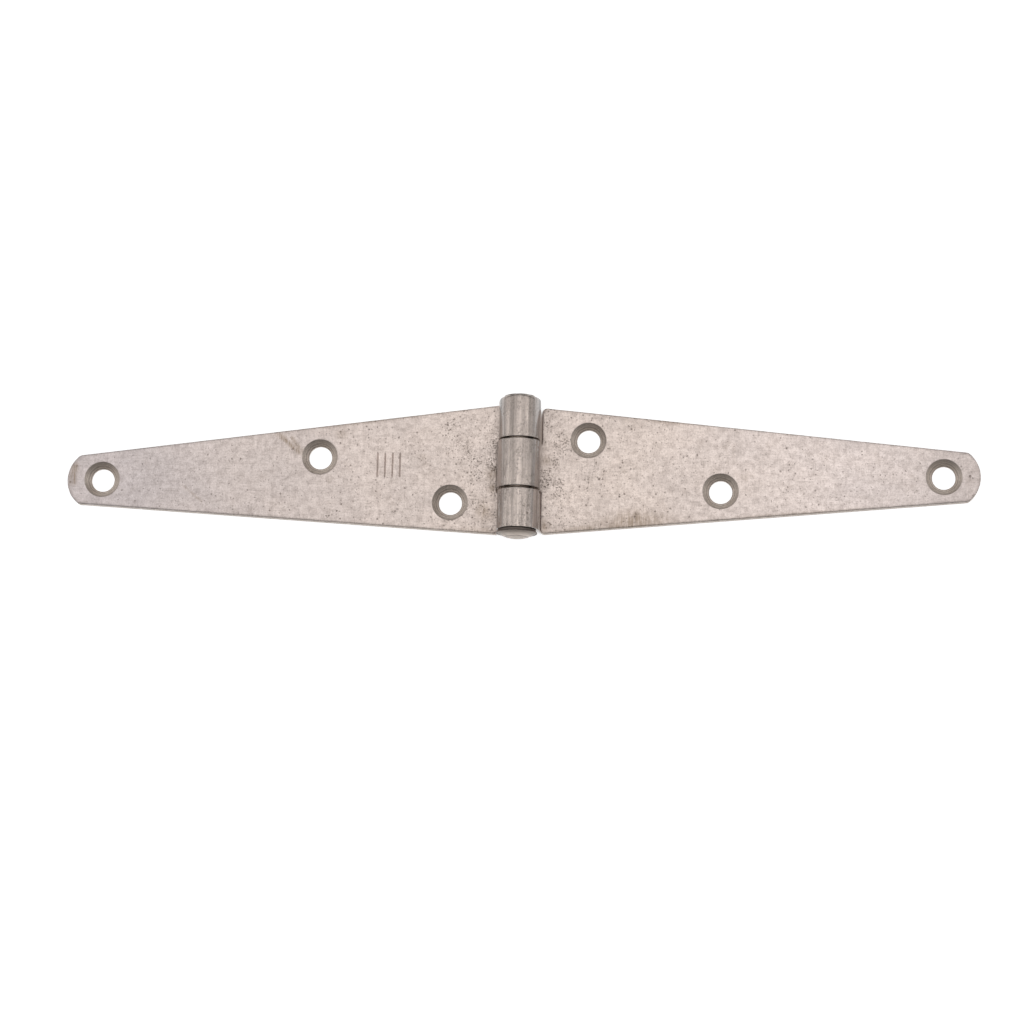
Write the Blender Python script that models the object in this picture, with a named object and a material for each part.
"""Light strap hinge: two tapered steel leaves, each rolled from sheet round one headed pin.

Metres, +Z up. The hinge lies open and flat: the backs of both leaves are in the plane z = 0, the
pin runs along Y, and the leaves reach out along -X and +X. The origin is below the middle of the
pin's whole length. Each leaf is modelled in a frame of its own, whose origin is on the pin's axis
and whose +X runs out along the leaf, so one leaf's frame is the other's turned half round Z.
"""

import math

import bmesh
import bpy
from mathutils import Vector

MM = 0.001

# Sheet, pin and bore
SHEET = 1.5 * MM
PIN_R = 1.9 * MM
BORE_R = 2.0 * MM
KNUCKLE_R = BORE_R + SHEET
BACK = -KNUCKLE_R
FRONT = BACK + SHEET
CURL_END_GAP = 0.2 * MM

# Knuckles, along the pin from the head's end
BOTTOM_KNUCKLE = 6.6 * MM
MIDDLE_KNUCKLE = 8.0 * MM
TOP_KNUCKLE = 6.9 * MM
KNUCKLE_GAP = 0.3 * MM
STACK = BOTTOM_KNUCKLE + MIDDLE_KNUCKLE + TOP_KNUCKLE + 2 * KNUCKLE_GAP
RIM_ROUND = 0.75 * MM

# The pin's domed head, and its peened end
HEAD_R = 3.4 * MM
HEAD_DOME = 1.05 * MM
HEAD_GAP = 0.4 * MM
PEEN_R = 2.3 * MM
PEEN_DOME = 0.4 * MM
PEEN_GAP = 0.25 * MM
PIN_LENGTH = HEAD_DOME + HEAD_GAP + STACK + PEEN_GAP + PEEN_DOME

STACK_BOTTOM = HEAD_DOME + HEAD_GAP - PIN_LENGTH / 2
MIDDLE_BOTTOM = STACK_BOTTOM + BOTTOM_KNUCKLE + KNUCKLE_GAP
MIDDLE_TOP = MIDDLE_BOTTOM + MIDDLE_KNUCKLE
STACK_TOP = STACK_BOTTOM + STACK

# Leaves: lengths are from the pin's axis
LEAF_LENGTH = 76.0 * MM
ROOT_EDGE = 3.7 * MM
TWO_KNUCKLE_ROOT_WIDTH = 21.6 * MM
ONE_KNUCKLE_ROOT_WIDTH = 21.2 * MM
NARROW_WIDTH = 8.6 * MM
NARROW_WIDTH_AT = 72.0 * MM
TIP_R = 5.2 * MM
TIP_CORNER_R = 1.2 * MM
ROOT_CORNER_R = 0.8 * MM
TWO_KNUCKLE_CENTRE_Y = 0.0
ONE_KNUCKLE_CENTRE_Y = -0.25 * MM

# A stamped leaf isn't quite square to its pin: each one's centre line leans by a small angle
TWO_KNUCKLE_LEAN = math.radians(2.0)
ONE_KNUCKLE_LEAN = math.radians(-0.2)

# Countersunk screw holes: how far out from the pin, and how far across the leaf
SCREW_HOLES = [(11.4 * MM, 5.2 * MM), (33.4 * MM, -2.9 * MM), (70.0 * MM, 0.0)]
HOLE_R = 2.0 * MM
COUNTERSINK_R = 3.0 * MM

CUTTER_MARGIN = 1.0 * MM
STRIP_REACH = 14.0 * MM
CURL_SEGMENTS = 60
RIM_SEGMENTS = 4
HOLE_SEGMENTS = 48
PIN_SEGMENTS = 48
DOME_SEGMENTS = 8
CORNER_SEGMENTS = 6
TIP_SEGMENTS = 12
SHARP_DEGREES = 30

LEAF_STEEL = (0.56, 0.50, 0.46, 1.0)
PIN_STEEL = (0.42, 0.40, 0.38, 1.0)


def clear_scene():
    for item in list(bpy.data.objects):
        bpy.data.objects.remove(item)


def steel(name, colour, roughness):
    material = bpy.data.materials.new(name)
    material.use_nodes = True
    shader = material.node_tree.nodes["Principled BSDF"]
    shader.inputs["Base Color"].default_value = colour
    shader.inputs["Metallic"].default_value = 1.0
    shader.inputs["Roughness"].default_value = roughness
    return material


def add_object(name, builder, parent=None):
    """An object with the mesh that was built in builder, its faces pointing out."""
    bmesh.ops.recalc_face_normals(builder, faces=builder.faces)
    mesh = bpy.data.meshes.new(name)
    builder.to_mesh(mesh)
    builder.free()
    item = bpy.data.objects.new(name, mesh)
    item.parent = parent
    bpy.context.scene.collection.objects.link(item)
    return item


def cut(target, name, builder, operation):
    """Adds a Boolean to target, with a hidden cutter that moves with it."""
    cutter = add_object(name, builder, target)
    cutter.hide_render = True
    cutter.display_type = "WIRE"
    boolean = target.modifiers.new(name, "BOOLEAN")
    boolean.operation = operation
    boolean.object = cutter


def loft(builder, rings):
    """Adds a closed solid through rings of points, all with the same number of points."""
    made = [[builder.verts.new(point) for point in ring] for ring in rings]
    for lower, upper in zip(made, made[1:]):
        for i, corner in enumerate(lower):
            builder.faces.new((lower[i - 1], corner, upper[i], upper[i - 1]))
    builder.faces.new(made[0])
    builder.faces.new(made[-1])


def arc(centre, radius, start, end, segments):
    """Points on a circle from one angle to another, both ends included."""
    angles = [start + (end - start) * i / segments for i in range(segments + 1)]
    return [Vector(centre) + radius * Vector((math.cos(a), math.sin(a))) for a in angles]


def rolled_section(inset):
    """The leaf's XZ section: a flat strip, curled round the pin until it meets its own front.

    inset makes the curl's outside smaller, by an amount that grows from nothing where the curl
    leaves the flat strip.
    """
    turn = 1.5 * math.pi + math.asin(-(FRONT + CURL_END_GAP) / KNUCKLE_R)
    full_inset_turn = math.radians(30)
    outside, inside = [], []
    for i in range(CURL_SEGMENTS + 1):
        turned = turn * i / CURL_SEGMENTS
        direction = Vector((-math.sin(turned), -math.cos(turned)))
        outside.append(direction * (KNUCKLE_R - inset * min(1.0, turned / full_inset_turn)))
        inside.append(direction * BORE_R)
    far = LEAF_LENGTH + CUTTER_MARGIN
    return [Vector((far, BACK))] + outside + inside[::-1] + [Vector((far, FRONT))]


def rolled_strip(start, rounded):
    """The rolled section drawn out along +Y from start, with its outer rim rounded there or not."""
    slices = [(start, 0.0)]
    if rounded:
        slices = []
        for i in range(RIM_SEGMENTS + 1):
            angle = math.pi / 2 * i / RIM_SEGMENTS
            slices.append((start + RIM_ROUND * (1 - math.cos(angle)), RIM_ROUND * (1 - math.sin(angle))))
    slices.append((STRIP_REACH, 0.0))
    builder = bmesh.new()
    loft(builder, [[(p.x, y, p.y) for p in rolled_section(inset)] for y, inset in slices])
    return builder


def side_and_tip(root_width):
    """Half of a straight leaf's outline, from the root to the middle of the tip.

    A tapered side, a corner round that is tangent to it, and the tip's larger arc.
    """
    taper = math.atan2((root_width - NARROW_WIDTH) / 2, NARROW_WIDTH_AT - ROOT_EDGE)
    along = Vector((math.cos(taper), -math.sin(taper)))
    outward = Vector((math.sin(taper), math.cos(taper)))
    root = Vector((ROOT_EDGE, root_width / 2))
    tip_centre = Vector((LEAF_LENGTH - TIP_R, 0.0))
    start = root - outward * TIP_CORNER_R - tip_centre
    nearest = -start.dot(along)
    past_nearest = math.sqrt(nearest ** 2 - start.length_squared + (TIP_R - TIP_CORNER_R) ** 2)
    to_corner = start + along * (nearest + past_nearest)
    turn = math.atan2(to_corner.y, to_corner.x)
    corner = arc(tip_centre + to_corner, TIP_CORNER_R, math.pi / 2 - taper, turn, CORNER_SEGMENTS)
    return [root] + corner + arc(tip_centre, TIP_R, turn, 0.0, TIP_SEGMENTS)[1:]


def fillet(before, corner, after, radius):
    """Points that round one corner of an outline."""
    back = (before - corner).normalized()
    on = (after - corner).normalized()
    half = back.angle(on) / 2
    centre = corner + (back + on).normalized() * radius / math.sin(half)
    start = corner + back * radius / math.tan(half) - centre
    end = corner + on * radius / math.tan(half) - centre
    first = math.atan2(start.y, start.x)
    sweep = (math.atan2(end.y, end.x) - first + math.pi) % (2 * math.pi) - math.pi
    return arc(centre, radius, first, first + sweep, CORNER_SEGMENTS)


def leaf_outline(centre_y, root_width, lean, tabs, rounded_root):
    """The leaf seen from the front, with a tab for each of its knuckles, as one closed outline."""
    half = side_and_tip(root_width)
    leaf_edge = half + [Vector((p.x, -p.y)) for p in half[-2::-1]]
    leaf_edge = [Vector((p.x, centre_y + p.y + p.x * math.tan(lean))) for p in leaf_edge]
    tab_end = -KNUCKLE_R - CUTTER_MARGIN
    root = []
    for low, high in tabs:
        corners = [(ROOT_EDGE, low), (tab_end, low), (tab_end, high), (ROOT_EDGE, high)]
        root += [Vector(corner) for corner in corners]
    if rounded_root:
        upper = fillet(root[-1], leaf_edge[0], leaf_edge[1], ROOT_CORNER_R)
        lower = fillet(leaf_edge[-2], leaf_edge[-1], root[0], ROOT_CORNER_R)
        leaf_edge = upper + leaf_edge[1:-1] + lower
    return leaf_edge + root


def outline_prism(outline):
    builder = bmesh.new()
    reach = KNUCKLE_R + CUTTER_MARGIN
    loft(builder, [[(p.x, p.y, z) for p in outline] for z in (-reach, reach)])
    return builder


def screw_hole_cutters(centre_y, lean):
    """Three straight holes, each opened out to a 90 degree countersink on the leaf's front."""
    profile = [
        (HOLE_R, BACK - CUTTER_MARGIN),
        (HOLE_R, FRONT - (COUNTERSINK_R - HOLE_R)),
        (COUNTERSINK_R + CUTTER_MARGIN, FRONT + CUTTER_MARGIN),
    ]
    builder = bmesh.new()
    for x, across in SCREW_HOLES:
        centre = (x, centre_y + across + x * math.tan(lean))
        circles = [(arc(centre, r, 0.0, 2 * math.pi, HOLE_SEGMENTS)[:-1], z) for r, z in profile]
        loft(builder, [[(p.x, p.y, z) for p in circle] for circle, z in circles])
    return builder


def finish(item, material):
    item.location = (0.0, 0.0, KNUCKLE_R)
    item.data.materials.append(material)
    item.data.shade_smooth()
    item.data.set_sharp_from_angle(angle=math.radians(SHARP_DEGREES))


def two_knuckle_leaf():
    """The leaf that reaches to -X, so it is turned half round, and Y is negative in its frame."""
    tabs = [
        (-STACK_TOP - CUTTER_MARGIN, -STACK_TOP + TOP_KNUCKLE),
        (-STACK_BOTTOM - BOTTOM_KNUCKLE, -STACK_BOTTOM),
    ]
    outline = leaf_outline(-TWO_KNUCKLE_CENTRE_Y, TWO_KNUCKLE_ROOT_WIDTH, TWO_KNUCKLE_LEAN, tabs, False)
    item = add_object("two_knuckle_leaf", rolled_strip(-STACK_TOP, True))
    cut(item, "two_knuckle_outline", outline_prism(outline), "INTERSECT")
    holes = screw_hole_cutters(-TWO_KNUCKLE_CENTRE_Y, TWO_KNUCKLE_LEAN)
    cut(item, "two_knuckle_screw_holes", holes, "DIFFERENCE")
    item.rotation_euler.z = math.pi
    finish(item, steel("two_knuckle_leaf_steel", LEAF_STEEL, 0.5))


def one_knuckle_leaf():
    """The leaf that reaches to +X."""
    tabs = [(MIDDLE_BOTTOM, MIDDLE_TOP)]
    outline = leaf_outline(ONE_KNUCKLE_CENTRE_Y, ONE_KNUCKLE_ROOT_WIDTH, ONE_KNUCKLE_LEAN, tabs, True)
    item = add_object("one_knuckle_leaf", rolled_strip(-STRIP_REACH, False))
    cut(item, "one_knuckle_outline", outline_prism(outline), "INTERSECT")
    holes = screw_hole_cutters(ONE_KNUCKLE_CENTRE_Y, ONE_KNUCKLE_LEAN)
    cut(item, "one_knuckle_screw_holes", holes, "DIFFERENCE")
    finish(item, steel("one_knuckle_leaf_steel", LEAF_STEEL, 0.5))


def dome(radius, height):
    """A round cap's profile, from its rim almost to its centre, as (radius, height) pairs."""
    sphere_r = (radius ** 2 + height ** 2) / (2 * height)
    opening = math.asin(radius / sphere_r)
    angles = [opening * (1 - i / DOME_SEGMENTS) for i in range(DOME_SEGMENTS)]
    return [(sphere_r * math.sin(a), sphere_r * math.cos(a) - sphere_r + height) for a in angles]


def hinge_pin():
    """The pin, turned about Y: a domed head, a plain shank, and an end that is peened over."""
    under_head = STACK_BOTTOM - HEAD_GAP
    under_peen = STACK_TOP + PEEN_GAP
    profile = [(r, under_head - height) for r, height in dome(HEAD_R, HEAD_DOME)[::-1]]
    profile += [(PIN_R, under_head), (PIN_R, under_peen)]
    profile += [(r, under_peen + height) for r, height in dome(PEEN_R, PEEN_DOME)]
    turns = [2 * math.pi * i / PIN_SEGMENTS for i in range(PIN_SEGMENTS)]
    builder = bmesh.new()
    loft(builder, [[(r * math.cos(a), y, r * math.sin(a)) for a in turns] for r, y in profile])
    finish(add_object("hinge_pin", builder), steel("pin_steel", PIN_STEEL, 0.35))


clear_scene()
two_knuckle_leaf()
one_knuckle_leaf()
hinge_pin()
